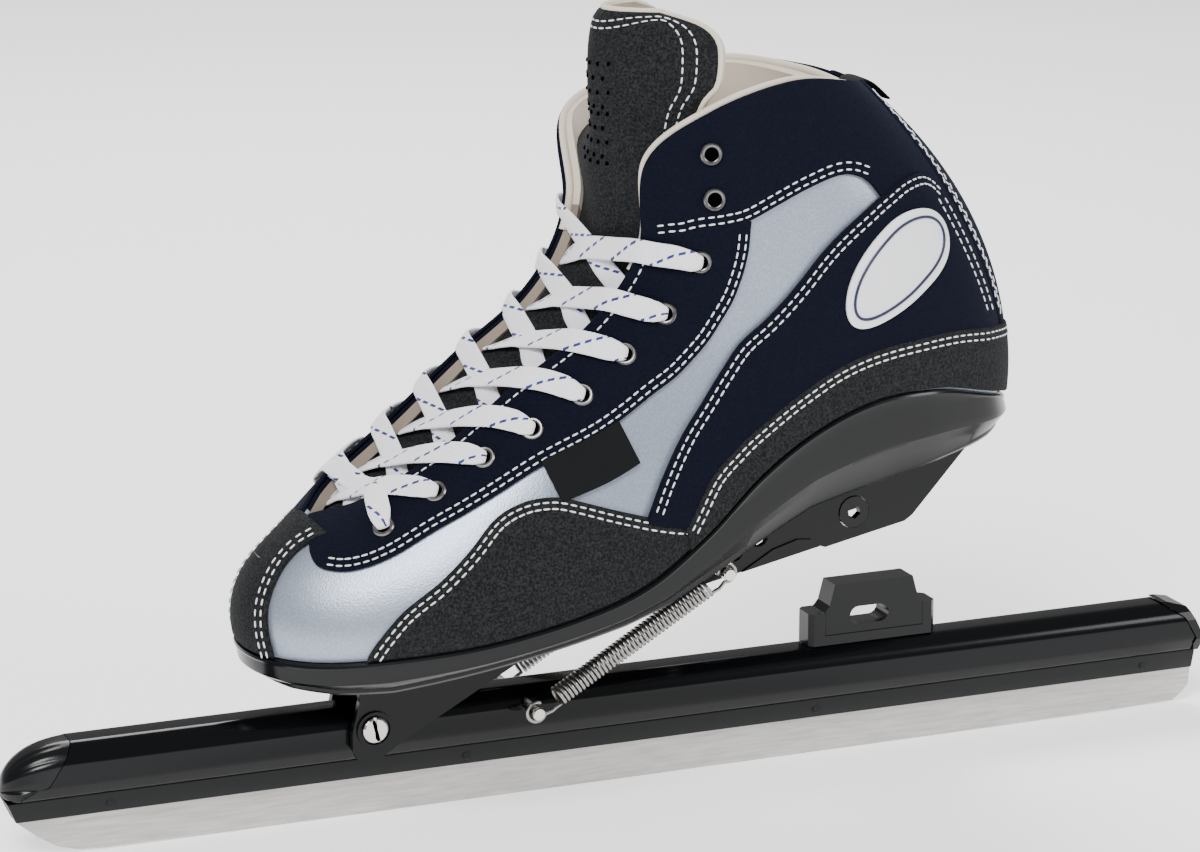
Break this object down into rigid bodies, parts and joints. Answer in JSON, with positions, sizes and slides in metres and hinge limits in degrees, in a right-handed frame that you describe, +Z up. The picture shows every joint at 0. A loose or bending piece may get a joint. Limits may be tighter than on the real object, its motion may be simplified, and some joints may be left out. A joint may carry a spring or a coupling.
{
  "type": "clap speed skate",
  "caption": "Laced low speed skate boot on a bridge hinged near the toe to a long straight blade, with tension springs that draw the heel back down.",
  "frame": {"origin": "middle of the runner's straight ice edge", "axes": "+X along the blade towards the heel, +Z up, so +Y is towards the inner side of this left foot"},
  "size_m": [0.415, 0.0926, 0.249],
  "materials": {
    "runner_steel": "ground, satin",
    "tube_lacquer": "gloss black",
    "holder_black": "matte black",
    "rivet_dark": "dark, satin",
    "cap_plastic": "gloss black",
    "block_plastic": "matte dark",
    "bright_steel": "bright",
    "spring_steel": "bright drawn wire",
    "bridge_black": "black anodised, satin",
    "bush_plastic": "matte black",
    "sole_black": "satin black",
    "insert_steel": "satin",
    "insole_felt": "felted",
    "lining_beige": "soft, matte",
    "leather_silver": "metallic, satin",
    "suede_navy": "brushed, matte",
    "nubuck_black": "coarse, matte",
    "badge_white": "smooth",
    "label_black": "woven",
    "lace_white": "flat woven"
  },
  "bodies": {
    "boot": {"hinge_axle": "bright_steel", "hinge_screw_outer": "bright_steel", "hinge_screw_inner": "bright_steel", "bridge": "bridge_black", "lock_bush_outer": "bush_plastic", "lock_bush_inner": "bush_plastic", "upper_spring_pin": "bright_steel", "sole_shell": "sole_black", "insole": "insole_felt", "toe_stripe": "nubuck_black", "heel_band": "nubuck_black", "back_stay": "suede_navy", "badge": "badge_white", "side_label": "label_black", "tongue": "nubuck_black", "laces": "lace_white", "mount_bolt_1": "bright_steel", "sole_insert_1": "insert_steel", "mount_bolt_2": "bright_steel", "sole_insert_2": "insert_steel", "mount_bolt_3": "bright_steel", "sole_insert_3": "insert_steel", "mount_bolt_4": "bright_steel", "sole_insert_4": "insert_steel", "lining_outer": "lining_beige", "upper_outer": "leather_silver", "wave_panel_outer": "nubuck_black", "eyestay_outer": "suede_navy", "collar_outer": "suede_navy", "heel_quarter_outer": "suede_navy", "lining_inner": "lining_beige", "upper_inner": "leather_silver", "wave_panel_inner": "nubuck_black", "eyestay_inner": "suede_navy", "collar_inner": "suede_navy", "heel_quarter_inner": "suede_navy"},
    "blade": {"runner": "runner_steel", "blade_holder": "holder_black", "blade_tube": "tube_lacquer", "holder_rivet_1": "rivet_dark", "holder_rivet_2": "rivet_dark", "holder_rivet_3": "rivet_dark", "holder_rivet_4": "rivet_dark", "front_end_cap": "cap_plastic", "rear_end_cap": "cap_plastic", "landing_block": "block_plastic", "block_screw_1": "bright_steel", "block_screw_2": "bright_steel", "hinge_sleeve": "bright_steel", "lower_spring_pin": "bright_steel", "spring_outer": "spring_steel", "spring_inner": "spring_steel"}
  },
  "joints": [
    {"name": "clap_hinge", "type": "hinge", "parent": "boot", "child": "blade", "pos_m": [-0.0913, 0, 0.032], "axis": [0, 1, 0], "range_deg": [-12, 15], "stiffness_Nm_per_rad": 1.5, "springref_deg": -11.97, "deforming": ["spring_outer", "spring_inner"]}
  ]
}
